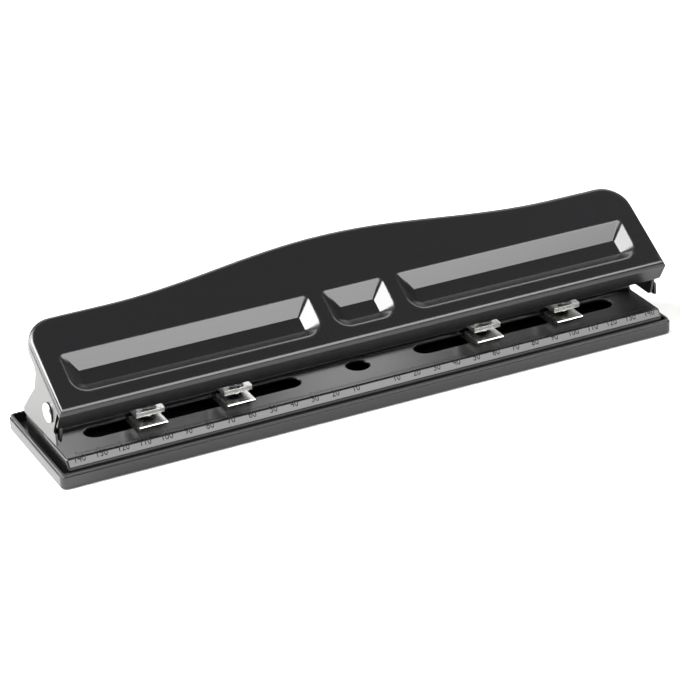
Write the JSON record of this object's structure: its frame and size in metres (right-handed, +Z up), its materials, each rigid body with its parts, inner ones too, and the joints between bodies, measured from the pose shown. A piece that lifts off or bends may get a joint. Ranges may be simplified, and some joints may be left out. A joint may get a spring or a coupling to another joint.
{
  "type": "adjustable multi-hole punch",
  "caption": "Long desk hole punch: a sloping black lever over a low slotted paper bed, with sliding steel punch heads and a chip tray underneath.",
  "frame": {"origin": "centre of the footprint, on the surface that the punch stands on", "axes": "+X along the length, -Y the front where paper goes in, +Z up"},
  "size_m": [0.3, 0.067, 0.0649],
  "materials": {
    "black_enamel": "gloss black stove enamel on pressed steel",
    "black_plastic": "satin black moulding",
    "bright_steel": "bright nickel plate",
    "hardened_steel": "ground and hardened",
    "spring_steel": "tempered spring steel",
    "black_rubber": "matt moulded rubber"
  },
  "bodies": {
    "tray": {"chip_tray": "black_plastic", "foot_back_left": "black_rubber", "foot_back_right": "black_rubber", "foot_front_left": "black_rubber", "foot_front_right": "black_rubber"},
    "frame": {"frame_plate": "black_enamel", "ear_left": "black_enamel", "ear_right": "black_enamel", "ear_rivets": "bright_steel", "pivot_rivet_left": "bright_steel", "pivot_rivet_right": "bright_steel", "pivot_washer_left": "bright_steel", "pivot_washer_right": "bright_steel"},
    "handle": {"handle_shell": "black_enamel", "press_bar": "hardened_steel", "bar_hanger_left": "black_enamel", "bar_hanger_right": "black_enamel"},
    "head_1": {"head_body_1": "bright_steel", "die_bush_1": "hardened_steel", "pin_spring_1": "spring_steel", "friction_leaf_1": "spring_steel", "leaf_rivet_1": "hardened_steel"},
    "pin_1": {"punch_pin_1": "hardened_steel", "pin_clip_1": "spring_steel"},
    "head_2": {"head_body_2": "bright_steel", "die_bush_2": "hardened_steel", "pin_spring_2": "spring_steel", "friction_leaf_2": "spring_steel", "leaf_rivet_2": "hardened_steel"},
    "pin_2": {"punch_pin_2": "hardened_steel", "pin_clip_2": "spring_steel"},
    "head_3": {"head_body_3": "bright_steel", "die_bush_3": "hardened_steel", "pin_spring_3": "spring_steel", "friction_leaf_3": "spring_steel", "leaf_rivet_3": "hardened_steel"},
    "pin_3": {"punch_pin_3": "hardened_steel", "pin_clip_3": "spring_steel"},
    "head_4": {"head_body_4": "bright_steel", "die_bush_4": "hardened_steel", "pin_spring_4": "spring_steel", "friction_leaf_4": "spring_steel", "leaf_rivet_4": "hardened_steel"},
    "pin_4": {"punch_pin_4": "hardened_steel", "pin_clip_4": "spring_steel"}
  },
  "joints": [
    {"name": "frame_lift", "type": "slide", "parent": "tray", "child": "frame", "axis": [0, 0, 1], "range_m": [0, 0.02]},
    {"name": "handle_press", "type": "hinge", "parent": "frame", "child": "handle", "pos_m": [0, -0.0175, 0.0298], "axis": [-1, 0, 0], "range_deg": [0, 20], "stiffness_Nm_per_rad": 0.36, "springref_deg": -29.62},
    {"name": "head_1_slide", "type": "slide", "parent": "frame", "child": "head_1", "axis": [1, 0, 0], "range_m": [-0.019, 0.0135]},
    {"name": "pin_1_press", "type": "slide", "parent": "head_1", "child": "pin_1", "axis": [0, 0, -1], "range_m": [0, 0.0028], "deforming": ["pin_spring_1"]},
    {"name": "head_2_slide", "type": "slide", "parent": "frame", "child": "head_2", "axis": [1, 0, 0], "range_m": [-0.0135, 0.0215]},
    {"name": "pin_2_press", "type": "slide", "parent": "head_2", "child": "pin_2", "axis": [0, 0, -1], "range_m": [0, 0.0028], "deforming": ["pin_spring_2"]},
    {"name": "head_3_slide", "type": "slide", "parent": "frame", "child": "head_3", "axis": [1, 0, 0], "range_m": [-0.0245, 0.0135]},
    {"name": "pin_3_press", "type": "slide", "parent": "head_3", "child": "pin_3", "axis": [0, 0, -1], "range_m": [0, 0.0028], "deforming": ["pin_spring_3"]},
    {"name": "head_4_slide", "type": "slide", "parent": "frame", "child": "head_4", "axis": [1, 0, 0], "range_m": [-0.0135, 0.016]},
    {"name": "pin_4_press", "type": "slide", "parent": "head_4", "child": "pin_4", "axis": [0, 0, -1], "range_m": [0, 0.0028], "deforming": ["pin_spring_4"]}
  ],
  "couplings": [
    {"joint": "pin_1_press", "follows": "handle_press", "m_per_rad": 0.007735},
    {"joint": "pin_2_press", "follows": "handle_press", "m_per_rad": 0.007735},
    {"joint": "pin_3_press", "follows": "handle_press", "m_per_rad": 0.007735},
    {"joint": "pin_4_press", "follows": "handle_press", "m_per_rad": 0.007735}
  ]
}
